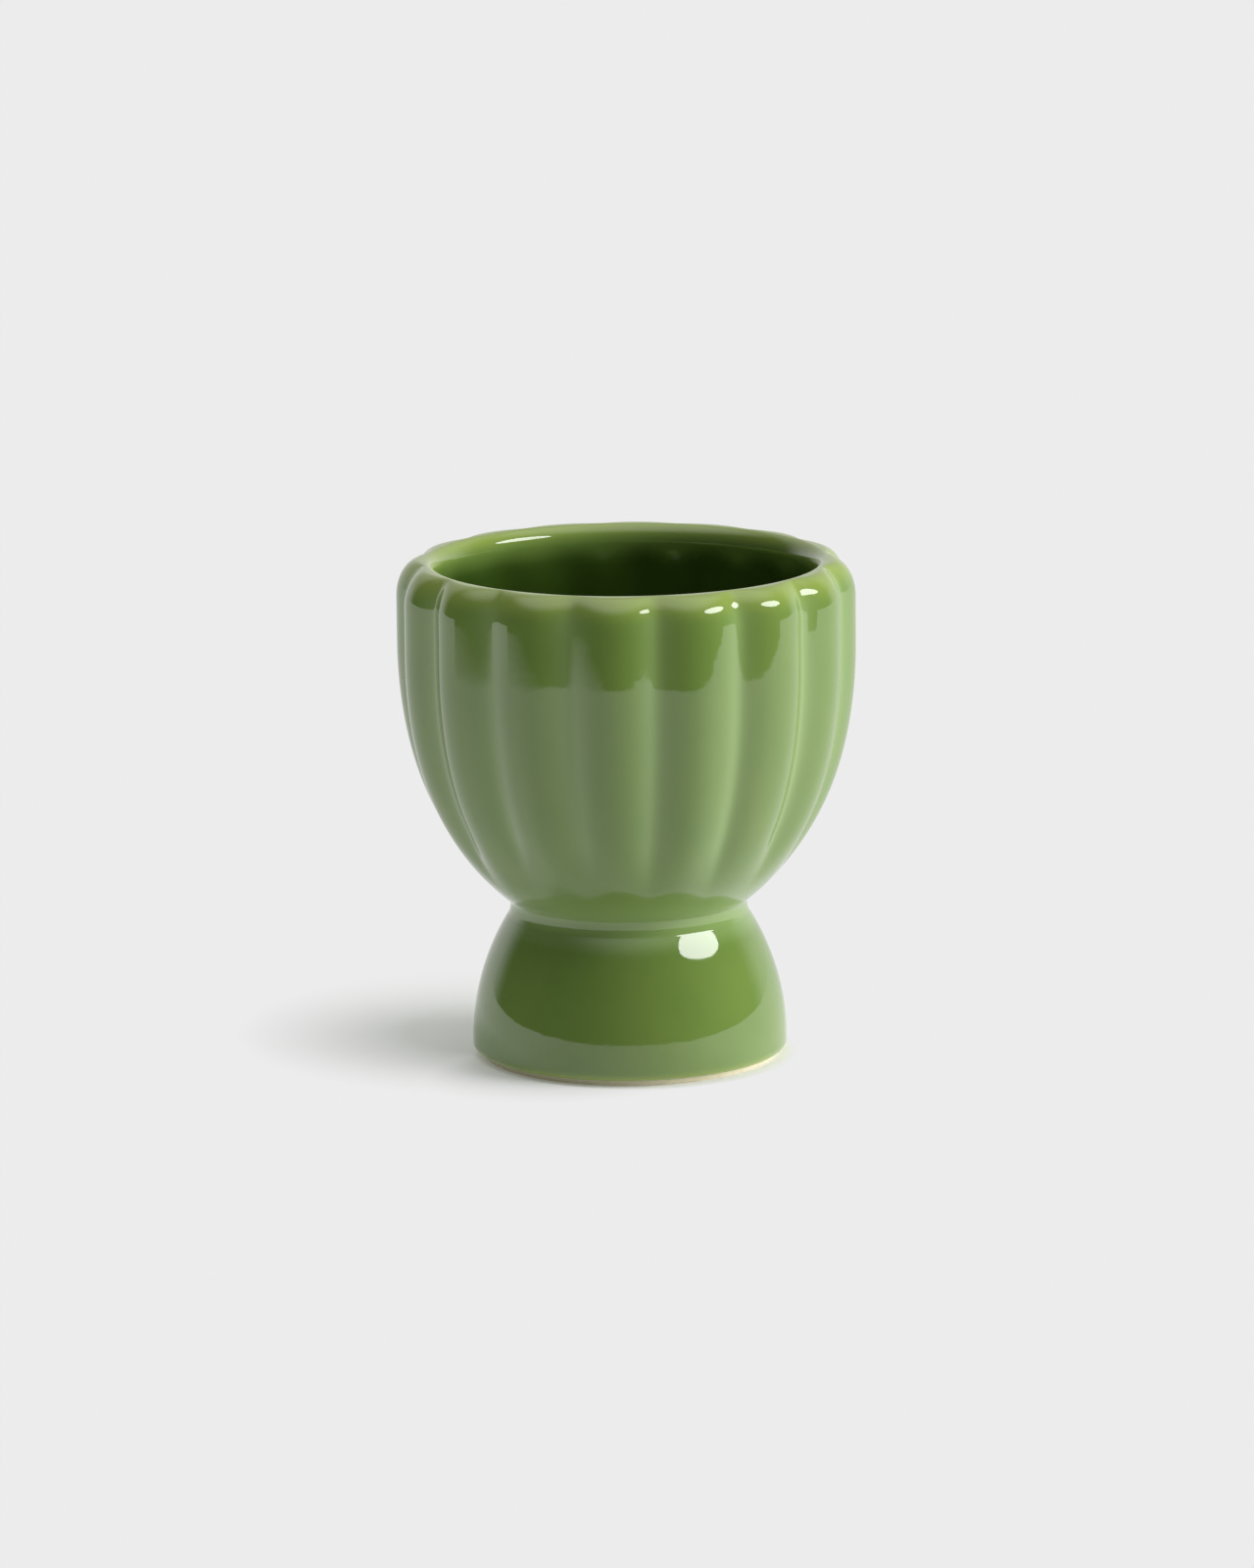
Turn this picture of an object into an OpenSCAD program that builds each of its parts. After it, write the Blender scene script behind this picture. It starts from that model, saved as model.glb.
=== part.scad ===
// Egg cup: a bowl fluted into upright lobes, luted with clay slip onto a hollow domed foot.
// The foot stands on a ring of bare clay. Lengths are millimetres. The table is z = 0, and the cup's axis is Z.

/* [Cup] */
// Height of the rim above the table
cup_h = 57; // [52:0.5:70]
// Radius of the waist, where the bowl meets the foot
waist_r = 13.75; // [11.5:0.05:15]

/* [Bowl] */
// Outside radius of the bowl, at the crest of a lobe
bowl_r = 26; // [24.5:0.1:30]
// Thickness of the upper wall, from the inside to the crest of a lobe
wall_t = 4.75; // [4:0.05:6]
// Height of the side that stands straight up below the shoulder
side_h = 5.4; // [2:0.1:8]
// Height of the rounded shoulder between the side and the rim
shoulder_h = 4.2; // [3:0.1:7]
// How far the top of the rim lies in from the side
shoulder_in = 2.7; // [1.5:0.05:3.2]
// Height of the lip's curve inside the rim
lip_h = 3; // [1.5:0.1:4]
// Width of the level top of the rim at a groove
rim_flat = 0.12; // [0.05:0.01:0.3]
// Thickness of the bowl's base on the axis
base_t = 4.6; // [3:0.1:7]

/* [Flutes] */
// Number of lobes round the bowl
lobes = 16; // [12:1:24]
// Depth of the grooves between the lobes, at the widest part of the bowl
groove_d = 1.15; // [0.4:0.05:1.6]
// Depth of the grooves where they run out over the rim
rim_groove_d = 0.45; // [0.1:0.05:0.6]
// How long the grooves hold their depth over the shoulder, where more is longer
groove_hold = 4; // [1:0.5:6]
// Height above the waist at which the grooves begin
groove_start = 1.4; // [0.5:0.1:4]
// Height over which the grooves sink from nothing to their full depth
groove_rise = 9; // [4:0.5:16]

/* [Joint] */
// Thickness of the slip between the bowl and the foot
slip_t = 0.6; // [0.3:0.05:1]
// Height of the collar of slip round the waist
collar_h = 2; // [1:0.1:3]
// How far the collar is wiped hollow, in from the waist
collar_in = 0.25; // [0.15:0.05:0.6]
// Depth of the bowl's rounded underside below the waist
under_d = 5; // [3:0.1:6]
// Width of the flat land round the bowl's underside
land_w = 0.2; // [0.1:0.01:0.3]

/* [Foot] */
// Height of the foot, from the table to the collar
foot_h = 16.2; // [14:0.1:20]
// Radius of the foot at its widest
foot_r = 17.9; // [16:0.1:21]
// Radius of the foot's rounded lower edge
foot_edge_r = 1; // [0.6:0.05:1.6]
// Wall of the foot, which its roof under the bowl shares
foot_wall = 3.2; // [2.4:0.1:4]
// Radius inside the foot, where its wall meets its roof
roof_fillet_r = 1.5; // [1:0.1:1.8]

/* [Foot ring] */
// Height of the bare clay ring
ring_h = 0.65; // [0.4:0.05:1.2]
// Radius of the ring's rounded lower edges
ring_edge_r = 0.22; // [0.1:0.01:0.35]
// Step from the glazed foot in to the bare ring
glaze_step = 0.3; // [0.1:0.05:0.6]

/* [Hidden] */

// Facets of a full turn, and of the curves of the lobes and the bowl's outline
turn_steps = 128;
lobe_steps = 10;
wall_steps = 13;
shoulder_steps = 7;
hollow_steps = 20;
lip_steps = 8;
// Overrun of every cut past the solid that it cuts
over = 1;

// Heights of the bowl
waist_z = foot_h + collar_h;
shoulder_z = cup_h - shoulder_h;
belly_z = shoulder_z - side_h;
rim_r = bowl_r - shoulder_in;
mouth_r = bowl_r - wall_t;
lip_z = cup_h - lip_h;
lip_in = rim_r - rim_groove_d - rim_flat - mouth_r;
// The bowl's wall is part of an ellipse through the waist, upright at belly_z
waist_angle = asin(waist_r / bowl_r);
wall_depth = (belly_z - waist_z) / cos(waist_angle);
// The bowl's underside is part of a sphere, and the foot's seat is a larger one about the same centre
under_edge_r = waist_r - land_w;
under_r = (pow(under_edge_r, 2) + pow(under_d, 2)) / (2 * under_d);
under_centre_z = waist_z - under_d + under_r;
seat_r = under_r + slip_t;
// The hollow for the egg is half an ellipse under an upright mouth
floor_z = waist_z - under_d + base_t;
hollow_depth = belly_z - floor_z;
// The collar is hollowed by an arc through the waist at its top and bottom
collar_arc_r = (pow(collar_h / 2, 2) + pow(collar_in, 2)) / (2 * collar_in);
// The foot's side is an arc, upright at its widest and meeting the waist at the top
foot_belly_z = ring_h + foot_edge_r;
foot_arc_h = foot_h - foot_belly_z;
foot_arc_in = foot_r - waist_r;
foot_arc_r = (pow(foot_arc_h, 2) + pow(foot_arc_in, 2)) / (2 * foot_arc_in);
foot_arc_x = foot_r - foot_arc_r;
// Inside the foot, the wall and the roof follow the outside, and a small arc joins them
recess_arc_r = foot_arc_r - foot_wall;
roof_r = seat_r + foot_wall;

// Lobes

// Distance from the axis at an angle t from a lobe's crest. The lobe is an arc of a circle that passes
// through the crest and through the grooves at both sides.
function lobe_radius(crest_r, groove_r, t) =
    let (half = 180 / lobes)
    let (centre_r = (pow(crest_r, 2) - pow(groove_r, 2)) / (2 * (crest_r - groove_r * cos(half))))
    let (arc_r = crest_r - centre_r)
    centre_r * cos(t) + sqrt(pow(arc_r, 2) - pow(centre_r * sin(t), 2));

// Share of their depth that the grooves have at a height above the waist, from 0 to 1
function groove_share(h) =
    let (u = min(1, max(0, (h - groove_start) / groove_rise)))
    u * u * (3 - 2 * u);

// Crest radius, height and groove depth of each ring of the bowl's skin, from the waist to the rim
wall_rings = [for (i = [0:wall_steps])
    let (a = waist_angle + (90 - waist_angle) * i / wall_steps)
    let (z = belly_z - wall_depth * cos(a))
    [bowl_r * sin(a), z, groove_d * sin(a) * groove_share(z - waist_z)]];
shoulder_rings = [for (i = [0:shoulder_steps])
    let (a = 90 * i / shoulder_steps)
    let (held_share = 1 - pow(i / shoulder_steps, groove_hold))
    [rim_r + shoulder_in * cos(a), shoulder_z + shoulder_h * sin(a),
        rim_groove_d + (groove_d - rim_groove_d) * held_share]];
skin_rings = concat(wall_rings, shoulder_rings);

module fluted_skin() {
    columns = lobes * lobe_steps;
    top = len(skin_rings) - 1;
    rings = [for (ring = skin_rings) for (i = [0:columns - 1])
        let (t = ((i % lobe_steps) / lobe_steps - 1 / 2) * 360 / lobes)
        let (r = lobe_radius(ring[0], ring[0] - ring[2], t))
        let (a = (i / columns) * 360 - 180 / lobes)
        [r * cos(a), r * sin(a), ring[1]]];
    sides = [for (k = [0:top - 1]) for (i = [0:columns - 1])
        let (j = (i + 1) % columns)
        let (low = k * columns)
        let (high = low + columns)
        each [[low + i, high + j, low + j], [low + i, high + i, high + j]]];
    bottom_cap = [for (i = [0:columns - 1]) i];
    // the top is a fan round the axis, so that the hollow crosses its facets at even steps
    apex = (top + 1) * columns;
    top_fan = [for (i = [0:columns - 1]) [apex, top * columns + (i + 1) % columns, top * columns + i]];
    polyhedron(concat(rings, [[0, 0, cup_h]]), concat(sides, top_fan, [bottom_cap]));
}

// Bowl

// Rounded underside, which runs up inside the skin
module bowl_underside() {
    rotate_extrude($fn = turn_steps)
    union() {
        intersection() {
            translate([0, under_centre_z]) circle(under_r, $fn = turn_steps);
            translate([0, waist_z - under_d - over]) square([under_edge_r, under_d + over]);
        }
        translate([0, waist_z - over]) square([under_edge_r - over, 2 * over]);
    }
}

// Point i of the lip's curve, which goes out from the mouth to the top of the rim
function lip_point(i) =
    let (a = 90 * i / lip_steps)
    [mouth_r + lip_in * (1 - cos(a)), lip_z + lip_h * sin(a)];

// Space inside the bowl, up past the rounded lip, whose last facet runs on above the rim to cut it cleanly
module egg_hollow() {
    wall = [for (i = [0:hollow_steps])
        let (a = 90 * i / hollow_steps)
        [mouth_r * sin(a), belly_z - hollow_depth * cos(a)]];
    lip = [for (i = [0:lip_steps - 1]) lip_point(i)];
    beyond = 2 * lip_point(lip_steps) - lip_point(lip_steps - 1);
    rotate_extrude($fn = turn_steps)
    polygon(concat(wall, lip, [beyond, [beyond[0], cup_h + over], [0, cup_h + over]]));
}

module bowl() {
    color("olivedrab")
    difference() {
        union() {
            fluted_skin();
            bowl_underside();
        }
        egg_hollow();
    }
}

// Joint

module slip_joint() {
    color("darkolivegreen")
    rotate_extrude($fn = turn_steps)
    difference() {
        union() {
            intersection() {
                translate([0, under_centre_z]) circle(seat_r, $fn = turn_steps);
                square([waist_r, foot_h]);
            }
            translate([0, foot_h]) square([waist_r, collar_h]);
        }
        translate([0, under_centre_z]) circle(under_r, $fn = turn_steps);
        translate([waist_r - collar_in + collar_arc_r, foot_h + collar_h / 2])
            circle(collar_arc_r, $fn = turn_steps);
    }
}

// Foot

// Height of the point at which two circles in the outline of the foot cross, at the side away from the axis.
// The first stands at [x, z] with radius r, the second on the axis at height axis_z with radius axis_r.
function crossing(x, z, r, axis_z, axis_r) =
    let (dx = -x)
    let (dz = axis_z - z)
    let (d = sqrt(dx * dx + dz * dz))
    let (along = (d * d + r * r - axis_r * axis_r) / (2 * d))
    let (across = sqrt(r * r - along * along))
    [x + (dx * along + dz * across) / d, z + (dz * along - dx * across) / d];

// Outline of the space inside the foot, open at the table
module recess_outline() {
    fillet = crossing(foot_arc_x, foot_belly_z, recess_arc_r - roof_fillet_r,
        under_centre_z, roof_r + roof_fillet_r);
    roof_touch = [0, under_centre_z] + (fillet - [0, under_centre_z]) * roof_r / (roof_r + roof_fillet_r);
    wall_centre = [foot_arc_x, foot_belly_z];
    wall_touch = wall_centre + (fillet - wall_centre) * recess_arc_r / (recess_arc_r - roof_fillet_r);
    square([foot_r - foot_wall, foot_belly_z]);
    difference() {
        intersection() {
            translate(wall_centre) circle(recess_arc_r, $fn = turn_steps);
            translate([0, foot_belly_z]) square([foot_r, foot_arc_h]);
        }
        translate([0, under_centre_z]) circle(roof_r, $fn = turn_steps);
        polygon([roof_touch, wall_touch, [wall_touch[0], foot_h], [roof_touch[0], foot_h]]);
    }
    translate(fillet) circle(roof_fillet_r, $fn = turn_steps);
}

module foot() {
    color("forestgreen")
    rotate_extrude($fn = turn_steps)
    difference() {
        union() {
            intersection() {
                translate([foot_arc_x, foot_belly_z]) circle(foot_arc_r, $fn = turn_steps);
                translate([0, foot_belly_z]) square([foot_r + over, foot_arc_h]);
            }
            translate([0, ring_h]) square([foot_r - foot_edge_r, foot_edge_r]);
            intersection() {
                translate([foot_r - foot_edge_r, foot_belly_z]) circle(foot_edge_r, $fn = turn_steps);
                translate([0, ring_h]) square([foot_r + over, foot_edge_r]);
            }
        }
        translate([0, under_centre_z]) circle(seat_r, $fn = turn_steps);
        recess_outline();
    }
}

// Foot ring

module foot_ring() {
    outer_r = foot_r - foot_edge_r - glaze_step;
    inner_r = foot_r - foot_wall;
    color("wheat")
    rotate_extrude($fn = turn_steps)
    union() {
        translate([inner_r, ring_edge_r]) square([outer_r - inner_r, ring_h - ring_edge_r]);
        translate([inner_r + ring_edge_r, 0]) square([outer_r - inner_r - 2 * ring_edge_r, ring_edge_r]);
        for (x = [inner_r + ring_edge_r, outer_r - ring_edge_r])
            translate([x, ring_edge_r]) circle(ring_edge_r, $fn = turn_steps);
    }
}

bowl();
slip_joint();
foot();
foot_ring();
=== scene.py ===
# Egg cup: a fluted bowl luted onto a domed foot, in a glossy green glaze over cream clay.
# Sizes are millimetres until a mesh is made, and the cup's axis is Z.
import math

import bpy
import numpy as np
from mathutils import Matrix, Quaternion, Vector


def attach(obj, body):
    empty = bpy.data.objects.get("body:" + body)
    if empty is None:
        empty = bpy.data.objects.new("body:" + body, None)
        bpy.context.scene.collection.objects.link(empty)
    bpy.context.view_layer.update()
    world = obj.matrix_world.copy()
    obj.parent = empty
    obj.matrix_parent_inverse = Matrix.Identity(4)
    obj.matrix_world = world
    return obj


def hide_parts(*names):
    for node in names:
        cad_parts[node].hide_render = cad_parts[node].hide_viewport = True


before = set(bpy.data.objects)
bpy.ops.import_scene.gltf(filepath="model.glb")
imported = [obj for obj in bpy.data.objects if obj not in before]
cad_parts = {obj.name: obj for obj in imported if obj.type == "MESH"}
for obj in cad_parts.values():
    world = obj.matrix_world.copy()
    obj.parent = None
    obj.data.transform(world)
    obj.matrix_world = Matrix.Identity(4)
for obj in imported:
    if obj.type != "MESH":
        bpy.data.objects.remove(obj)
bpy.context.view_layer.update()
print("frame loaded:", ", ".join(sorted(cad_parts)))

mm = 0.001

# Camera

camera = {
    "photoSize": (1280, 1600),      # pixels of the picture that the view is matched to
    "axisPixel": (641.0, 826.9),    # where the point on the axis at aimHeight lies in it
    "aimHeight": 28.0,
    "pixelsPerMm": 9.004,
    "distance": 1000.0,
    "elevation": 12.0,              # degrees above the table
    "azimuth": 3.6,                 # degrees round from -Y, so that a groove stands right of the middle
    "roll": -0.55,                  # degrees
    "sensorWidth": 36.0,
    "clip": (0.01, 50.0),           # metres
}


def addObject(name, data):
    obj = bpy.data.objects.new(name, data)
    bpy.context.scene.collection.objects.link(obj)
    return obj


def directionOf(azimuth, elevation):
    # Away from the cup, in degrees round from -Y and degrees above the table
    az, el = math.radians(azimuth), math.radians(elevation)
    return Vector((math.sin(az) * math.cos(el), -math.cos(az) * math.cos(el), math.sin(el)))


def makeCamera(c):
    # A long lens far off. Its length is pixels per millimetre x distance x sensor width, over the longer
    # side of the picture in pixels.
    width, height = c["photoSize"]
    toCamera = directionOf(c["azimuth"], c["elevation"])
    rotation = toCamera.to_track_quat("Z", "Y").to_matrix()
    rotation = rotation @ Matrix.Rotation(math.radians(c["roll"]), 3, "Z")
    # the camera looks beside the axis by as much as the axis lies off the picture's middle
    aside = (width / 2 - c["axisPixel"][0]) / c["pixelsPerMm"]
    above = (c["axisPixel"][1] - height / 2) / c["pixelsPerMm"]
    target = Vector((0, 0, c["aimHeight"])) + rotation @ Vector((aside, above, 0))
    data = bpy.data.cameras.new("photoCamera")
    data.sensor_width = c["sensorWidth"]
    data.lens = c["pixelsPerMm"] * c["distance"] * c["sensorWidth"] / max(width, height)
    data.clip_start, data.clip_end = c["clip"]
    obj = addObject("photoCamera", data)
    place = rotation.to_4x4()
    place.translation = (target + toCamera * c["distance"]) * mm
    obj.matrix_world = place
    bpy.context.scene.camera = obj


makeCamera(camera)
print("camera placed")

# Meshes

sharpAngle = 25                     # degrees between two faces past which their edge stays sharp
poleAngle = 0.5                     # degrees off the axis at which the first ring of a dish lies
samePoint = 1e-4                    # points of an outline that lie nearer than this are one


def ringMesh(name, x, y, z, poles=True):
    # A grid of rings: row i is a closed ring of points, and rows follow the outline of the piece.
    # With poles, the outline starts and ends on the axis, and its two end rows close to one point each.
    # Without, the last row joins the first, as in a hoop.
    rows, columns = x.shape
    points = np.stack([x, y, z], axis=-1).reshape(-1, 3) * mm
    i = np.arange(rows - 1 if poles else rows)[:, None]
    j = np.arange(columns)[None, :]
    nextRow, nextColumn = (i + 1) % rows, (j + 1) % columns
    quads = np.stack([i * columns + j, i * columns + nextColumn,
                      nextRow * columns + nextColumn, nextRow * columns + j], axis=-1).reshape(-1, 4)
    loops, sizes = [quads.ravel()], [np.full(len(quads), 4)]
    if poles:
        ends = np.array([[0, 0, z[0].mean()], [0, 0, z[-1].mean()]]) * mm
        points = np.concatenate([points, ends])
        around = np.arange(columns)
        first = np.stack([np.full(columns, rows * columns), np.roll(around, -1), around], axis=-1)
        top = (rows - 1) * columns + around
        last = np.stack([np.full(columns, rows * columns + 1), top, np.roll(top, -1)], axis=-1)
        loops += [first.ravel(), last.ravel()]
        sizes += [np.full(2 * columns, 3)]
    loops = np.concatenate(loops).astype(np.int32)
    sizes = np.concatenate(sizes).astype(np.int32)
    starts = np.concatenate([[0], np.cumsum(sizes)[:-1]]).astype(np.int32)
    mesh = bpy.data.meshes.new(name)
    mesh.vertices.add(len(points))
    mesh.vertices.foreach_set("co", points.ravel())
    mesh.loops.add(len(loops))
    mesh.loops.foreach_set("vertex_index", loops)
    mesh.polygons.add(len(sizes))
    mesh.polygons.foreach_set("loop_start", starts)
    mesh.update(calc_edges=True)
    mesh.polygons.foreach_set("use_smooth", np.ones(len(sizes), dtype=bool))
    mesh.set_sharp_from_angle(angle=math.radians(sharpAngle))
    mesh.validate()
    return addObject(name, mesh)


def paint(obj, name, values):
    # A value for each point of the grid, with the end points taking those of their rings
    flat = values.reshape(-1)
    missing = len(obj.data.vertices) - len(flat)
    if missing:
        flat = np.concatenate([flat, [values[0].mean(), values[-1].mean()]])
    layer = obj.data.attributes.new(name, "FLOAT", "POINT")
    layer.data.foreach_set("value", flat.astype(np.float32))


def arcPoints(centre, radius, start, end, count):
    # Points of an arc, with angles in degrees from the outward direction: the centre plus the radius
    # times cosine and sine
    a = np.radians(np.linspace(start, end, count))
    return np.stack([centre[0] + radius * np.cos(a), centre[1] + radius * np.sin(a)], axis=-1)


def linePoints(start, end, count):
    # Points at even steps of a straight line: start times 1 - s, plus end times s
    s = np.linspace(0, 1, count)[:, None]
    return np.array(start) * (1 - s) + np.array(end) * s


def outlineOf(*parts):
    # Parts of an outline end to end, with no point twice
    points = np.concatenate(parts)
    step = np.hypot(*np.diff(points, axis=0).T)
    return points[np.concatenate([[True], step > samePoint])]


def smoothRise(u):
    # Goes from 0 to 1 as u does, level at both ends: 3 times the square less twice the cube
    u = np.clip(u, 0, 1)
    return u * u * (3 - 2 * u)


# Bowl

bowl = {
    "rimHeight": 57.0,
    "radius": 26.0,             # at the crest of a lobe
    "mouthRadius": 21.25,
    "sideHeight": 5.4,
    "shoulderHeight": 4.2,
    "shoulderIn": 2.7,
    "lipHeight": 2.2,
    "rimFlat": 0.1,             # width of the level top of the rim at a groove
    "waistRadius": 13.75,
    "waistHeight": 18.2,
    "wallFullness": 0.34,       # how far the wall swells past its ellipse
    "fullnessSkew": 0.7,        # below 1, it swells most below its middle
    "underDepth": 5.0,
    "landWidth": 0.2,
    "baseThickness": 4.6,
    "lobes": 16,
    "grooveDepth": 1.15,
    "rimGrooveDepth": 0.45,
    "grooveHold": 4.0,          # how long the grooves hold their depth over the shoulder
    "creaseSoftness": 2.0,      # degrees over which the glaze rounds the bottom of a groove
    "grooveStart": 1.4,         # above the waist
    "grooveRise": 9.0,
    "insideFlute": 0.26,        # the flutes show through faintly on the inside
    "fluteRise": 2.5,           # depth below the lip by which they do so in full
    "fluteFade": 12.0,          # distance over which they fade to the calm middle of the floor
    "calmRadius": 8.0,
    "wobble": 0.025,            # unevenness of the wall, which only takes away
    "wobbleStart": 2.0,         # above the waist
    "wobbleRise": 8.0,
    "wobbleFade": 6.0,
    # its waves: how many round the wall, the height over which one leans by a radian, its start in
    # radians, and its share
    "waves": [(3, 9.0, 0.0, 1.0), (5, -6.0, 1.3, 0.7), (8, 5.0, 4.0, 0.5)],
    "breakHeight": 3.0,         # the glaze runs thin this far down from the rim
    "insideBreak": 2.0,         # and this far on the inside
    "waistSheen": 5.0,           # painted sheen reaches this far from the crease at the waist
    "darkFrom": 1.4,            # depths inside between which painted shade darkens the glaze
    "darkTo": 4.4,
    "shadeEaseFrom": 20.0,           # and between which the painted shade lessens again, down to the floor
    "shadeEaseTo": 36.0,
    "floorShadeLoss": 0.7,           # the share of the painted shade that it then loses
    "columnsPerLobe": 24,
    "rows": {"underside": 16, "wall": 100, "side": 12, "outer": 40,
             "inner": 30, "throat": 10, "hollow": 46},
}


def lobeRadius(crest, depth, t, half, softness):
    # Each lobe is an arc through its crest and the grooves beside it, and the radius is where a ray from
    # the axis meets that arc. The angle from the crest is first squeezed near the groove, by the root of
    # its square plus softness squared, which rounds the crease.
    away = half - np.abs(t)
    u = np.sqrt(away ** 2 + softness ** 2) - softness
    u = u / (math.sqrt(half ** 2 + softness ** 2) - softness)
    angle = np.radians(half * (1 - u))
    groove = crest - depth
    centre = (crest ** 2 - groove ** 2) / (2 * (crest - groove * math.cos(math.radians(half))))
    arc = crest - centre
    return centre * np.cos(angle) + np.sqrt(arc ** 2 - (centre * np.sin(angle)) ** 2)


def underSphere(b):
    # Height of the centre and radius of the sphere under the bowl
    edge = b["waistRadius"] - b["landWidth"]
    radius = (edge ** 2 + b["underDepth"] ** 2) / (2 * b["underDepth"])
    return b["waistHeight"] - b["underDepth"] + radius, radius, edge


def bowlOutline(b):
    # Crest outline from the middle of the underside, out to the waist, up the wall, over the rim and
    # down inside to the middle of the floor, and which of its points lie outside
    rows = b["rows"]
    shoulder = b["rimHeight"] - b["shoulderHeight"]
    belly = shoulder - b["sideHeight"]
    rim = b["radius"] - b["shoulderIn"]
    centre, sphere, edge = underSphere(b)
    underEdge = math.degrees(math.asin(edge / sphere))
    underside = arcPoints((0, centre), sphere, -90 + poleAngle, -90 + underEdge, rows["underside"])
    # the wall is part of an ellipse that is upright at the belly, swollen by a squared sine
    a = np.linspace(math.asin(b["waistRadius"] / b["radius"]), math.pi / 2, rows["wall"])
    depth = (belly - b["waistHeight"]) / math.cos(a[0])
    wall = np.stack([b["radius"] * np.sin(a), belly - depth * np.cos(a)], axis=-1)
    up = (wall[:, 1] - b["waistHeight"]) / (belly - b["waistHeight"])
    wall[:, 0] += b["wallFullness"] * np.sin(math.pi * np.clip(up, 0, 1) ** b["fullnessSkew"]) ** 2
    side = linePoints(wall[-1], (b["radius"], shoulder), rows["side"])
    q = np.radians(np.linspace(0, 90, rows["outer"]))
    outer = np.stack([rim + b["shoulderIn"] * np.cos(q),
                      shoulder + b["shoulderHeight"] * np.sin(q)], axis=-1)
    lipTop = rim - b["rimGrooveDepth"] - b["rimFlat"]
    lipIn = lipTop - b["mouthRadius"]
    lipBase = b["rimHeight"] - b["lipHeight"]
    q = np.radians(np.linspace(0, 90, rows["inner"]))
    inner = np.stack([lipTop - lipIn * np.sin(q), lipBase + b["lipHeight"] * np.cos(q)], axis=-1)
    throat = linePoints(inner[-1], (b["mouthRadius"], belly), rows["throat"])
    floor = centre - sphere + b["baseThickness"]
    q = np.radians(np.linspace(90, 2 * poleAngle, rows["hollow"]))
    hollow = np.stack([b["mouthRadius"] * np.sin(q), belly - (belly - floor) * np.cos(q)], axis=-1)
    outside = outlineOf(underside, wall, side, outer)
    points = outlineOf(outside, inner, throat, hollow)
    r, z = points.T
    return r, z, np.arange(len(r)) < len(outside)


def makeBowl(b):
    # The crest outline carried round the axis, with its radius taken in along the arc of each lobe, let
    # out and in by the flutes inside, and taken in a little by the unevenness
    r, z, outside = bowlOutline(b)
    shoulder = b["rimHeight"] - b["shoulderHeight"]
    rim = b["radius"] - b["shoulderIn"]
    # the grooves: deepest on the side, fading out downwards and over the rim
    turn = np.arccos(np.clip((r - rim) / b["shoulderIn"], 0, 1)) / (math.pi / 2)
    held = 1 - turn ** b["grooveHold"]
    overRim = b["rimGrooveDepth"] + (b["grooveDepth"] - b["rimGrooveDepth"]) * held
    groove = np.where(z < shoulder, b["grooveDepth"] * r / b["radius"], overRim)
    groove = groove * smoothRise((z - b["waistHeight"] - b["grooveStart"]) / b["grooveRise"])
    groove = np.where(outside, groove, 0)
    columns = b["lobes"] * b["columnsPerLobe"]
    half = 180 / b["lobes"]
    degrees = np.arange(columns) * 360 / columns
    t = (degrees + half) % (2 * half) - half
    radii = lobeRadius(r[:, None], groove[:, None], t[None, :], half, b["creaseSoftness"])
    heights = np.repeat(z[:, None], columns, axis=1)
    a = np.radians(degrees)[None, :]
    below = (b["rimHeight"] - heights) * ~outside[:, None]
    # inside, a cosine round the wall with one wave to a lobe, from the lip to the round of the floor
    flute = smoothRise((below - b["lipHeight"]) / b["fluteRise"])
    flute = flute * smoothRise((radii - b["calmRadius"]) / b["fluteFade"])
    radii = radii + b["insideFlute"] * flute * np.cos(b["lobes"] * a)
    # unevenness: sines round and up the wall, each less 1, and none at the waist
    free = smoothRise((heights - b["waistHeight"] - b["wobbleStart"]) / b["wobbleRise"])
    free = free * smoothRise((radii - b["calmRadius"]) / b["wobbleFade"])
    waves = sum(share * (np.sin(count * a + heights / lean + start) - 1)
                for count, lean, start, share in b["waves"])
    radii = radii + b["wobble"] * free * waves
    obj = ringMesh("flutedBowl", radii * np.cos(a), radii * np.sin(a), heights)
    # painted sheen: the grooves and the waist take a paler glaze colour for the light they mirror
    inGroove = np.clip((r[:, None] - radii) / b["grooveDepth"], 0, 1) ** 2
    atWaist = smoothRise(1 - np.abs(heights - b["waistHeight"]) / b["waistSheen"])
    paint(obj, "paintedSheen", np.maximum(inGroove, atWaist) * outside[:, None])
    # inside, painted shade darkens the glaze below the lip, where little light reaches, and lessens again
    # towards the floor
    darkening = smoothRise((below - b["darkFrom"]) / (b["darkTo"] - b["darkFrom"]))
    floorEase = smoothRise((below - b["shadeEaseFrom"]) / (b["shadeEaseTo"] - b["shadeEaseFrom"]))
    paint(obj, "insideShade", darkening * (1 - b["floorShadeLoss"] * floorEase))
    # it breaks thin over the rim
    reach = np.where(outside[:, None], b["breakHeight"], b["insideBreak"])
    paint(obj, "rimBreak", smoothRise(1 - (b["rimHeight"] - heights) / reach))
    return obj


# Foot

foot = {
    "height": 16.2,
    "radius": 17.9,
    "waistRadius": 13.75,
    "bottom": 0.65,             # height of its lower edge, with the clay ring below
    "edgeRadius": 0.9,
    "wall": 3.2,
    "seatGap": 0.6,             # room for the slip between its dished top and the bowl
    "filletRadius": 1.5,        # between the wall and the roof of the hollow below
    "sideMargin": 0.1,          # points this near the waist's radius, or further out, are on the side
    "waistSheen": 2.0,           # painted sheen reaches this far down from the collar
    "edgeBreak": 1.1,           # the glaze runs thin this far up from the lower edge
    "columns": 288,
    "rows": {"top": 24, "side": 80, "corner": 16, "step": 6,
             "recess": 40, "fillet": 16, "roof": 30},
}


def footArcs(f):
    # Height at which the side is upright, radius of the side's arc, and how far out its centre lies
    belly = f["bottom"] + f["edgeRadius"]
    up, inward = f["height"] - belly, f["radius"] - f["waistRadius"]
    arc = (up ** 2 + inward ** 2) / (2 * inward)
    return belly, arc, f["radius"] - arc


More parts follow.
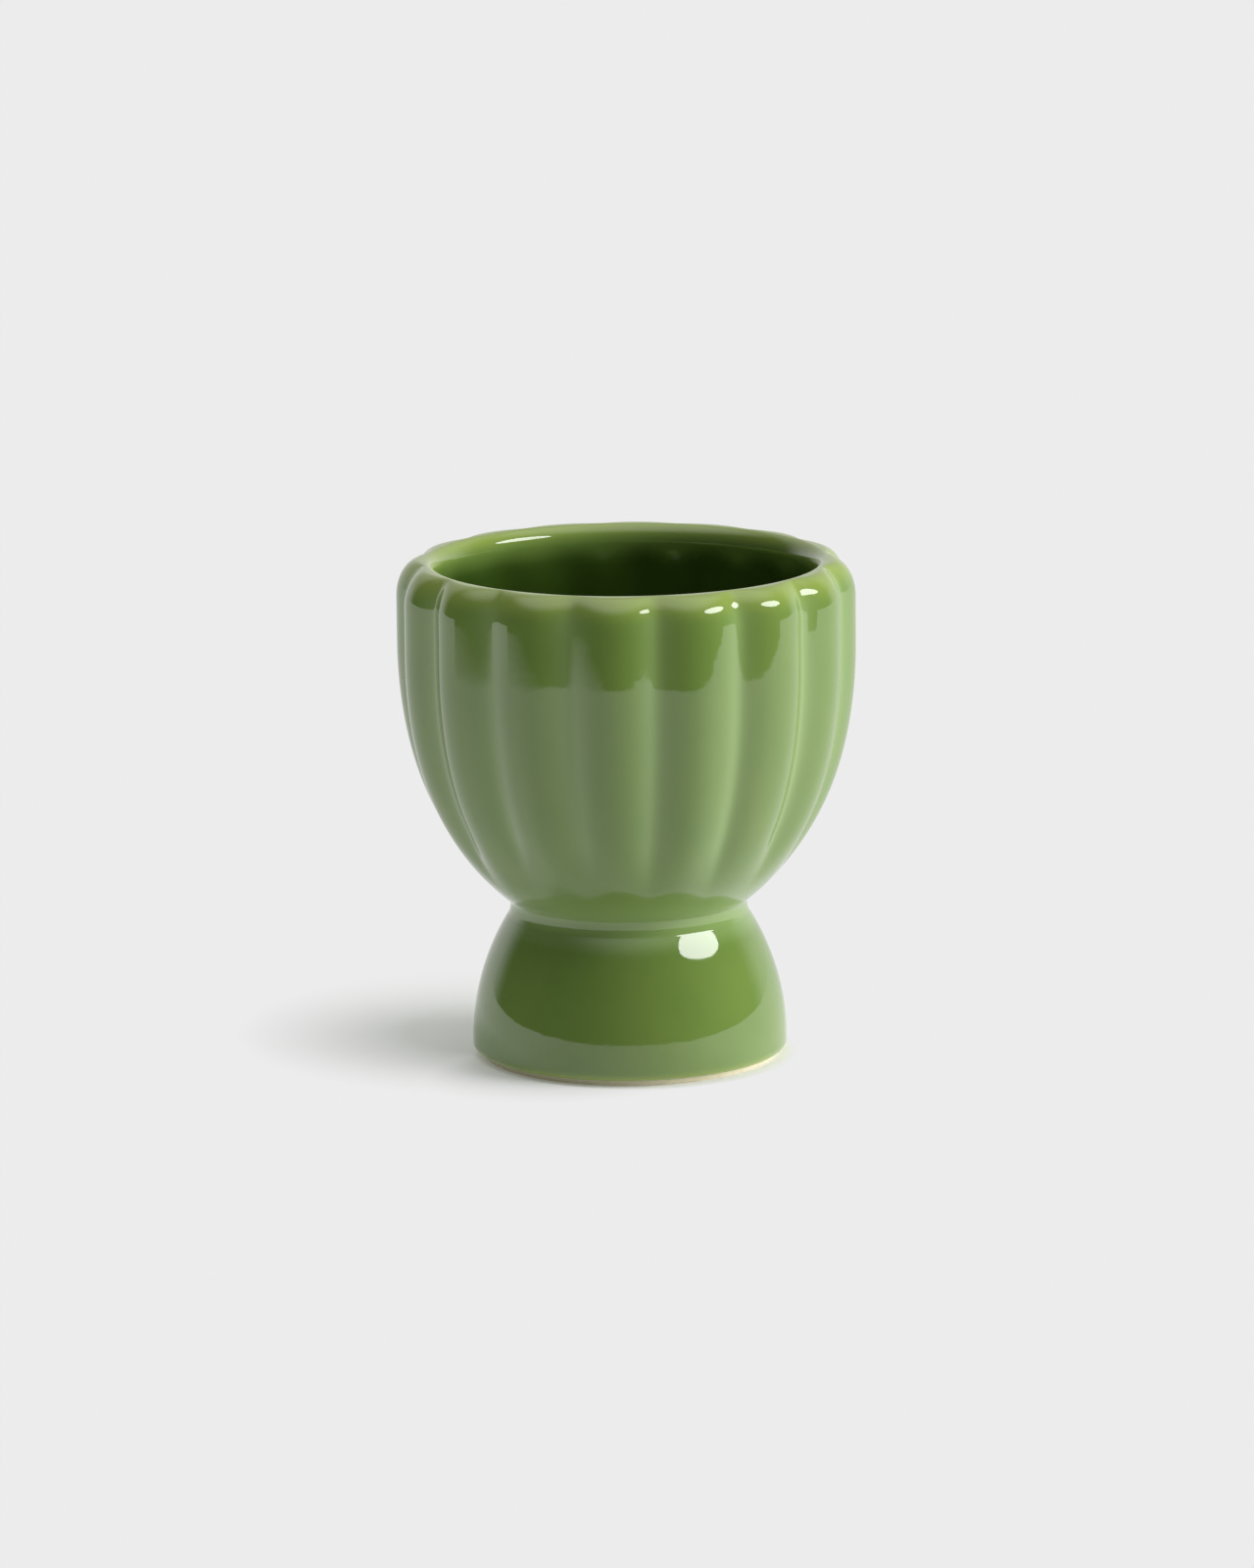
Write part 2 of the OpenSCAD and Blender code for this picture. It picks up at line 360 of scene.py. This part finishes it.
def footSeat(f, b):
    # The dished top: height of its centre, its radius, and the degrees from the axis at which it ends
    centre, sphere, _ = underSphere(b)
    seat = sphere + f["seatGap"]
    return centre, seat, math.degrees(math.acos((centre - f["height"]) / seat))


def turned(name, points, columns, poles=True):
    # An outline carried round the axis: x and y are its radius times cosine and sine of the angle
    a = np.arange(columns)[None, :] * 2 * math.pi / columns
    r, z = points.T
    return ringMesh(name, r[:, None] * np.cos(a), r[:, None] * np.sin(a),
                    np.repeat(z[:, None], columns, axis=1), poles)


def makeFoot(f, b):
    # An outline of arcs carried round the axis: the dished top, the side, the rounded lower edge, a level
    # step to the clay ring, and the wall, fillet and roof of the hollow
    rows = f["rows"]
    belly, arc, arcX = footArcs(f)
    centre, seat, seatEdge = footSeat(f, b)
    top = arcPoints((0, centre), seat, -90 + poleAngle, -90 + seatEdge, rows["top"])
    lift = math.degrees(math.asin((f["height"] - belly) / arc))
    side = arcPoints((arcX, belly), arc, lift, 0, rows["side"])
    corner = arcPoints((f["radius"] - f["edgeRadius"], belly), f["edgeRadius"], 0, -90, rows["corner"])
    step = linePoints(corner[-1], (f["radius"] - f["wall"], f["bottom"]), rows["step"])
    # the fillet touches the hollow's wall and roof, so its centre is where two circles cross
    dx, dz = -arcX, centre - belly
    d = math.hypot(dx, dz)
    wallArc = arc - f["wall"] - f["filletRadius"]
    roofArc = seat + f["wall"] + f["filletRadius"]
    along = (d * d + wallArc ** 2 - roofArc ** 2) / (2 * d)
    across = math.sqrt(wallArc ** 2 - along ** 2)
    fx = arcX + (dx * along + dz * across) / d
    fz = belly + (dz * along - dx * across) / d
    wallTurn = math.degrees(math.atan2(fz - belly, fx - arcX))
    roofTurn = math.degrees(math.atan2(fz - centre, fx))
    recess = arcPoints((arcX, belly), arc - f["wall"], 0, wallTurn, rows["recess"])
    fillet = arcPoints((fx, fz), f["filletRadius"], wallTurn, roofTurn + 180, rows["fillet"])
    roof = arcPoints((0, centre), seat + f["wall"], roofTurn, -90 + poleAngle, rows["roof"])
    outline = outlineOf(top, side, corner, step, recess, fillet, roof)[::-1]
    obj = turned("domedFoot", outline, f["columns"])
    # painted sheen below the collar, and the glaze breaks thin over the lower edge
    r, z = outline.T
    onSide = (r > f["waistRadius"] - f["sideMargin"]) & (z > belly)
    collarSheen = smoothRise(1 - (f["height"] - z) / f["waistSheen"]) * onSide
    paint(obj, "paintedSheen", np.repeat(collarSheen[:, None], f["columns"], axis=1))
    atEdge = r > f["radius"] - f["edgeRadius"]
    broken = smoothRise(1 - (z - f["bottom"]) / f["edgeBreak"]) * atEdge
    paint(obj, "rimBreak", np.repeat(broken[:, None], f["columns"], axis=1))
    return obj


# Joint

joint = {
    "collarHandle": 0.6,        # length of the collar's Bezier handles
    "seatRows": 20,
    "collarRows": 24,
}


def makeJoint(j, f, b):
    # The slip: a thin dish between bowl and foot, and a collar round the waist. The collar is a Bezier
    # curve that leaves the foot and meets the bowl along their own slopes.
    belly, arc, arcX = footArcs(f)
    centre, seat, seatEdge = footSeat(f, b)
    _, sphere, edge = underSphere(b)
    underEdge = math.degrees(math.asin(edge / sphere))
    low = arcPoints((0, centre), seat, -90 + poleAngle, -90 + seatEdge, j["seatRows"])
    high = arcPoints((0, centre), sphere, -90 + underEdge, -90 + poleAngle, j["seatRows"])
    start = np.array([f["waistRadius"], f["height"]])
    end = np.array([b["waistRadius"], b["waistHeight"]])
    footUp = np.array([-(f["height"] - belly), f["waistRadius"] - arcX])
    wallTurn = math.asin(b["waistRadius"] / b["radius"])
    bellyZ = b["rimHeight"] - b["shoulderHeight"] - b["sideHeight"]
    depth = (bellyZ - b["waistHeight"]) / math.cos(wallTurn)
    wallUp = np.array([b["radius"] * math.cos(wallTurn), depth * math.sin(wallTurn)])
    p1 = start + j["collarHandle"] * footUp / np.hypot(*footUp)
    p2 = end - j["collarHandle"] * wallUp / np.hypot(*wallUp)
    s = np.linspace(0, 1, j["collarRows"])[:, None]
    collar = ((1 - s) ** 3 * start + 3 * s * (1 - s) ** 2 * p1
              + 3 * s ** 2 * (1 - s) * p2 + s ** 3 * end)
    outline = outlineOf(low, collar, high)
    obj = turned("slipCollar", outline, f["columns"])
    # painted sheen over the whole collar
    paint(obj, "paintedSheen", np.ones((len(outline), f["columns"])))
    return obj


# Foot ring

ring = {
    "edgeRadius": 0.18,
    "glazeStep": 0.2,           # how far it is set in from the foot's rounded edge
    "edgeRows": 8,
    "topRows": 6,
    "baseRows": 5,
}


def makeRing(c, f):
    # A flat hoop with two small arcs for its lower edges, carried round the axis
    outer = f["radius"] - f["edgeRadius"] - c["glazeStep"]
    inner = f["radius"] - f["wall"]
    e = c["edgeRadius"]
    right = arcPoints((outer - e, e), e, -90, 0, c["edgeRows"])
    top = linePoints((outer, f["bottom"]), (inner, f["bottom"]), c["topRows"])
    left = arcPoints((inner + e, e), e, 180, 270, c["edgeRows"])
    base = linePoints(left[-1], right[0], c["baseRows"])[1:-1]
    return turned("clayRing", outlineOf(right, top, left, base), f["columns"], poles=False)


# Materials


def linear(hexColour):
    # sRGB hex to linear RGBA, with the numbers of the sRGB standard
    s = np.array([int(hexColour[i:i + 2], 16) for i in (1, 3, 5)]) / 255
    c = np.where(s <= 0.04045, s / 12.92, ((s + 0.055) / 1.055) ** 2.4)
    return (*c.tolist(), 1)


def addNode(tree, kind, settings=None, **links):
    # Adds a node, sets its fields and unlinked sockets, and links the sockets given as (node, output).
    # Sockets go by name or number, and _6 is socket 6. A mix has its share at 0, numbers at 2 and 3 and
    # colours at 6 and 7; a map range has its value at 0, the range it reads at 1 and 2 and the one it
    # gives at 3 and 4.
    node = tree.nodes.new(kind)
    for key, value in (settings or {}).items():
        if isinstance(key, str) and hasattr(node, key):
            setattr(node, key, value)
        else:
            node.inputs[key].default_value = value
    for key, (source, output) in links.items():
        socket = node.inputs[int(key[1:])] if key[0] == "_" else node.inputs[key]
        tree.links.new(source.outputs[output], socket)
    return node


def newMaterial(name):
    material = bpy.data.materials.new(name)
    material.use_nodes = True
    material.node_tree.nodes.clear()
    return material, material.node_tree


glaze = {
    "thin": "#7B9446",          # one green of the mottle, where the cream clay warms it
    "deep": "#6A8B3F",
    "sheen": "#88A45E",          # painted sheen, a paler green in the grooves and round the waist
    "rim": "#98AE52",           # along the rim, where it breaks thin
    "inside": "#3E571D",        # painted shade down inside the cup, where little light reaches
    "ior": 1.8,
    "roughness": 0.045,
    "mottleSize": 7.0,
    "mottleDetail": 3.0,
    "peelSize": 2.2,            # the slight orange peel of a fired glaze
    "peelDetail": 2.0,
    "peelStrength": 0.12,
    "peelHeight": 0.1,
}


def makeGlaze(g):
    # Glossy translucent green glaze, dipped and fired over cream earthenware. The eye sees a wet, even
    # gloss and a warmer green where it runs thin; a paler painted sheen lies in the grooves and at the
    # waist, and painted shade darkens it down inside the cup.
    material, tree = newMaterial("greenGlazedEarthenware")
    place = addNode(tree, "ShaderNodeTexCoord")
    mottle = addNode(tree, "ShaderNodeTexNoise",
                     {"Scale": 1 / (g["mottleSize"] * mm), "Detail": g["mottleDetail"]},
                     Vector=(place, "Object"))
    body = addNode(tree, "ShaderNodeMix",
                   {"data_type": "RGBA", 6: linear(g["deep"]), 7: linear(g["thin"])},
                   _0=(mottle, "Fac"))
    # painted sheen, paler in the grooves and at the waist
    sheen = addNode(tree, "ShaderNodeAttribute", {"attribute_name": "paintedSheen"})
    withSheen = addNode(tree, "ShaderNodeMix", {"data_type": "RGBA", 7: linear(g["sheen"])},
                     _0=(sheen, "Fac"), _6=(body, 2))
    # painted shade down inside the cup
    inside = addNode(tree, "ShaderNodeAttribute", {"attribute_name": "insideShade"})
    deep = addNode(tree, "ShaderNodeMix", {"data_type": "RGBA", 7: linear(g["inside"])},
                   _0=(inside, "Fac"), _6=(withSheen, 2))
    edge = addNode(tree, "ShaderNodeAttribute", {"attribute_name": "rimBreak"})
    colour = addNode(tree, "ShaderNodeMix", {"data_type": "RGBA", 7: linear(g["rim"])},
                     _0=(edge, "Fac"), _6=(deep, 2))
    peel = addNode(tree, "ShaderNodeTexNoise",
                   {"Scale": 1 / (g["peelSize"] * mm), "Detail": g["peelDetail"]},
                   Vector=(place, "Object"))
    bump = addNode(tree, "ShaderNodeBump",
                   {"Strength": g["peelStrength"], "Distance": g["peelHeight"] * mm},
                   Height=(peel, "Fac"))
    shader = addNode(tree, "ShaderNodeBsdfPrincipled", {"Roughness": g["roughness"], "IOR": g["ior"]},
                     _0=(colour, 2), Normal=(bump, "Normal"))
    addNode(tree, "ShaderNodeOutputMaterial", Surface=(shader, "BSDF"))
    return material


clay = {
    "pale": "#F6EED6",
    "dark": "#E3D8B8",
    "roughness": 0.9,
    "grainSize": 0.5,
    "grainDetail": 4.0,
    "grainStrength": 0.5,
    "grainHeight": 0.05,
}


def makeClay(c):
    # Bare fired earthenware: a dry, matt, finely sanded cream surface
    material, tree = newMaterial("bareEarthenware")
    place = addNode(tree, "ShaderNodeTexCoord")
    grain = addNode(tree, "ShaderNodeTexNoise",
                    {"Scale": 1 / (c["grainSize"] * mm), "Detail": c["grainDetail"]},
                    Vector=(place, "Object"))
    colour = addNode(tree, "ShaderNodeMix",
                     {"data_type": "RGBA", 6: linear(c["pale"]), 7: linear(c["dark"])},
                     _0=(grain, "Fac"))
    bump = addNode(tree, "ShaderNodeBump",
                   {"Strength": c["grainStrength"], "Distance": c["grainHeight"] * mm},
                   Height=(grain, "Fac"))
    shader = addNode(tree, "ShaderNodeBsdfPrincipled", {"Roughness": c["roughness"]},
                     _0=(colour, 2), Normal=(bump, "Normal"))
    addNode(tree, "ShaderNodeOutputMaterial", Surface=(shader, "BSDF"))
    return material


greenGlaze = makeGlaze(glaze)
bareClay = makeClay(clay)


def dress(obj, node, material):
    obj.data.materials.append(material)
    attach(obj, "root")
    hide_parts(node)


dress(makeBowl(bowl), "bowl", greenGlaze)
dress(makeJoint(joint, foot, bowl), "slip_joint", greenGlaze)
dress(makeFoot(foot, bowl), "foot", greenGlaze)
dress(makeRing(ring, foot), "foot_ring", bareClay)
print("pieces made")

# Studio

studio = {
    "background": "#ECECEC",
    "floorSize": 6000.0,
    "floorGlow": 0.12,          # light that the table gives of itself, as a lit sweep does
    "floorColour": "#F4F4F4",
    # light of the table as the cup sees it, against 1 for the camera. It turns from the front's to the
    # side's, and rises on the side of the lights, between these places on a round of directions.
    "bounceFront": 0.75,
    "bounceSide": 0.95,
    "bounceTurn": (-0.98, -0.4),
    "bounceRight": 1.26,
    "bounceRise": (0.3, 0.95),
    # the table keeps its own shade as far as "keep" from each centre, and is the plain background past
    # "end": the cast shadow, the dark line under the foot, and the soft shade left of it
    "shades": [
        {"centre": (-14.0, 10.0), "keep": 12.0, "end": 32.0},
        {"centre": (0.0, 0.0), "keep": 17.8, "end": 19.0},
        {"centre": (-9.0, -6.0), "keep": 8.0, "end": 19.0},
    ],
    # a bowed black card in front, which the glaze mirrors above the table
    "card": {
        "azimuth": -3.5,        # degrees round from the camera, as for the lights
        "reach": 76.5,          # degrees to each side of its middle
        "distance": 96.0,
        "bow": 0.36,            # its ends are farther off by this share
        "low": 31.0,
        "high": 64.0,
        "edge": 0.5,            # height over which its lower edge fades
        "leftFade": 18.0,       # and by how much more with each half width to the left
        "leftStart": 0.1,       # from this far left of its middle, in half widths
        "columns": 41,
        "colour": "#303030",
    },
    "lightDistance": 900.0,
    "softbox": {"azimuth": 73.5, "elevation": 34.5, "roll": -16.0, "size": (600.0, 212.0),
                "radiance": 7.2, "mirrored": True},
    "lowLight": {"azimuth": 84.0, "elevation": 11.0, "roll": 0.0, "size": (900.0, 316.0),
                 "radiance": 9.0, "mirrored": False},
    # the room, with each pair a range on a sphere of directions
    "room": 0.03,
    "backdrop": 0.8,
    "backdropEdge": (0.3, 0.7),     # from the sides to the back, where it comes in
    "backdropTop": (0.08, 0.4),     # heights over which it falls
    "backdropFall": 0.65,           # to this share of its level
    "ceiling": 1.0,
    "ceilingRise": (0.6, 0.93),     # heights over which it comes in
}


def makeFloor(s):
    # A level square: a pale matt table top near the cup, and the plain background farther out
    size = s["floorSize"] / 2 * mm
    corners = [(-size, -size, 0), (size, -size, 0), (size, size, 0), (-size, size, 0)]
    mesh = bpy.data.meshes.new("tableTop")
    mesh.from_pydata(corners, [], [(0, 1, 2, 3)])
    obj = addObject("tableTop", mesh)
    material, tree = newMaterial("paleTable")
    place = addNode(tree, "ShaderNodeTexCoord")
    far = addNode(tree, "ShaderNodeValue")
    far.outputs[0].default_value = 1
    for shade in s["shades"]:
        centre = tuple(v * mm for v in shade["centre"]) + (0,)
        away = addNode(tree, "ShaderNodeVectorMath", {"operation": "DISTANCE", 1: centre},
                       _0=(place, "Object"))
        past = addNode(tree, "ShaderNodeMapRange", {1: shade["keep"] * mm, 2: shade["end"] * mm},
                       _0=(away, "Value"))
        far = addNode(tree, "ShaderNodeMath", {"operation": "MINIMUM"}, _0=(far, 0), _1=(past, 0))
    # light that the table sends to the cup: dimmer in front, where the camera stands, than at the sides
    side = addNode(tree, "ShaderNodeVectorMath", {"operation": "NORMALIZE"}, _0=(place, "Object"))
    axis = addNode(tree, "ShaderNodeSeparateXYZ", Vector=(side, 0))
    start, end = s["bounceTurn"]
    front = addNode(tree, "ShaderNodeMapRange", {"interpolation_type": "SMOOTHSTEP", 1: start, 2: end,
                                                 3: s["bounceFront"], 4: s["bounceSide"]}, _0=(axis, "Y"))
    start, end = s["bounceRise"]
    right = addNode(tree, "ShaderNodeMapRange", {"interpolation_type": "SMOOTHSTEP", 1: start, 2: end,
                                                 3: 1.0, 4: s["bounceRight"]}, _0=(axis, "X"))
    bounce = addNode(tree, "ShaderNodeMath", {"operation": "MULTIPLY"}, _0=(front, 0), _1=(right, 0))
    path = addNode(tree, "ShaderNodeLightPath")
    level = addNode(tree, "ShaderNodeMix", {"data_type": "FLOAT", 3: 1.0},
                    _0=(path, "Is Camera Ray"), _2=(bounce, 0))
    glowLevel = addNode(tree, "ShaderNodeMath", {"operation": "MULTIPLY", 1: s["floorGlow"]},
                        _0=(level, 0))
    lit = addNode(tree, "ShaderNodeBsdfDiffuse", {"Color": linear(s["floorColour"])})
    glow = addNode(tree, "ShaderNodeEmission", Strength=(glowLevel, 0))
    near = addNode(tree, "ShaderNodeAddShader", _0=(lit, 0), _1=(glow, 0))
    plain = addNode(tree, "ShaderNodeEmission", {"Color": linear(s["background"])},
                    Strength=(level, 0))
    top = addNode(tree, "ShaderNodeMixShader", _0=(far, 0), _1=(near, 0), _2=(plain, 0))
    # a camera under the table sees through it
    geometry = addNode(tree, "ShaderNodeNewGeometry")
    under = addNode(tree, "ShaderNodeMath", {"operation": "MULTIPLY"}, _0=(geometry, "Backfacing"),
                    _1=(path, "Is Camera Ray"))
    clear = addNode(tree, "ShaderNodeBsdfTransparent")
    table = addNode(tree, "ShaderNodeMixShader", _0=(under, 0), _1=(top, 0), _2=(clear, 0))
    addNode(tree, "ShaderNodeOutputMaterial", Surface=(table, 0))
    mesh.materials.append(material)


def makeCard(card):
    # A strip on edge, whose distance from the axis grows with the square of the angle from its middle
    t = np.linspace(-1, 1, card["columns"])
    angle = np.radians(camera["azimuth"] + card["azimuth"] + card["reach"] * t)
    out = card["distance"] * (1 + card["bow"] * t ** 2)
    # its lower edge is sharp on the right and fades over a growing height towards the left end
    fade = card["edge"] + card["leftFade"] * np.clip(-t - card["leftStart"], 0, 1)
    heights = np.stack([card["low"] - fade / 2, card["low"] + fade / 2,
                        np.full_like(t, card["high"])])
    across = np.stack([out * np.sin(angle), -out * np.cos(angle)], axis=-1)
    points = np.concatenate([np.tile(across, (3, 1)), heights.reshape(-1, 1)], axis=-1) * mm
    i = (np.arange(len(t) - 1)[None, :] + len(t) * np.arange(2)[:, None]).ravel()
    faces = np.stack([i, i + 1, i + 1 + len(t), i + len(t)], axis=-1)
    mesh = bpy.data.meshes.new("blackCard")
    mesh.from_pydata(points.tolist(), [], faces.tolist())
    obj = addObject("blackCard", mesh)
    obj.visible_camera = obj.visible_diffuse = obj.visible_shadow = False
    paint(obj, "cover", np.stack([np.zeros_like(t), np.ones_like(t), np.ones_like(t)]))
    # matt black paper, clear below its soft edge and seen only in reflections
    material, tree = newMaterial("blackPaper")
    cover = addNode(tree, "ShaderNodeAttribute", {"attribute_name": "cover"})
    clear = addNode(tree, "ShaderNodeBsdfTransparent")
    black = addNode(tree, "ShaderNodeBsdfDiffuse", {"Color": linear(card["colour"])})
    shader = addNode(tree, "ShaderNodeMixShader", _0=(cover, "Fac"), _1=(clear, 0), _2=(black, 0))
    addNode(tree, "ShaderNodeOutputMaterial", Surface=(shader, 0))
    mesh.materials.append(material)


def makeLight(name, s, light):
    # An oval lamp that faces the cup's middle
    direction = directionOf(light["azimuth"] + camera["azimuth"], light["elevation"])
    data = bpy.data.lights.new(name, "AREA")
    data.shape = "ELLIPSE"
    data.size, data.size_y = light["size"][0] * mm, light["size"][1] * mm
    # a lamp of this power has the radiance asked for: power is radiance x area x pi, and an ellipse's
    # area is a quarter of pi times its two sizes
    data.energy = light["radiance"] * data.size * data.size_y * math.pi ** 2 / 4
    obj = addObject(name, data)
    roll = Quaternion((0, 0, 1), math.radians(light["roll"]))
    obj.rotation_euler = (direction.to_track_quat("Z", "Y") @ roll).to_euler()
    obj.location = (direction * s["lightDistance"] + Vector((0, 0, camera["aimHeight"]))) * mm
    obj.visible_glossy = light["mirrored"]


def makeWorld(s):
    # A dim room with a white backdrop behind the cup and a pale ceiling; the camera sees the plain
    # background everywhere
    world = bpy.data.worlds.new("studioRoom")
    bpy.context.scene.world = world
    world.use_nodes = True
    tree = world.node_tree
    tree.nodes.clear()
    place = addNode(tree, "ShaderNodeTexCoord")
    axis = addNode(tree, "ShaderNodeSeparateXYZ", Vector=(place, "Generated"))
    start, end = s["backdropTop"]
    fall = addNode(tree, "ShaderNodeMapRange", {"interpolation_type": "SMOOTHSTEP", 1: start, 2: end,
                                                3: s["backdrop"], 4: s["backdropFall"] * s["backdrop"]},
                   _0=(axis, "Z"))
    start, end = s["backdropEdge"]
    back = addNode(tree, "ShaderNodeMapRange", {"interpolation_type": "SMOOTHSTEP", 1: start, 2: end},
                   _0=(axis, "Y"), _4=(fall, 0))
    start, end = s["ceilingRise"]
    up = addNode(tree, "ShaderNodeMapRange", {"interpolation_type": "SMOOTHSTEP", 1: start, 2: end,
                                              3: s["room"], 4: s["ceiling"]}, _0=(axis, "Z"))
    room = addNode(tree, "ShaderNodeMath", {"operation": "MAXIMUM"}, _0=(back, 0), _1=(up, 0))
    path = addNode(tree, "ShaderNodeLightPath")
    level = addNode(tree, "ShaderNodeMix", {"data_type": "FLOAT", 3: linear(s["background"])[0]},
                    _0=(path, "Is Camera Ray"), _2=(room, 0))
    sky = addNode(tree, "ShaderNodeBackground", {"Color": (1, 1, 1, 1)}, Strength=(level, 0))
    addNode(tree, "ShaderNodeOutputWorld", Surface=(sky, 0))


makeFloor(studio)
makeCard(studio["card"])
makeLight("softbox", studio, studio["softbox"])
makeLight("lowLight", studio, studio["lowLight"])
makeWorld(studio)
bpy.context.scene.view_settings.view_transform = "Standard"
print("studio lit")
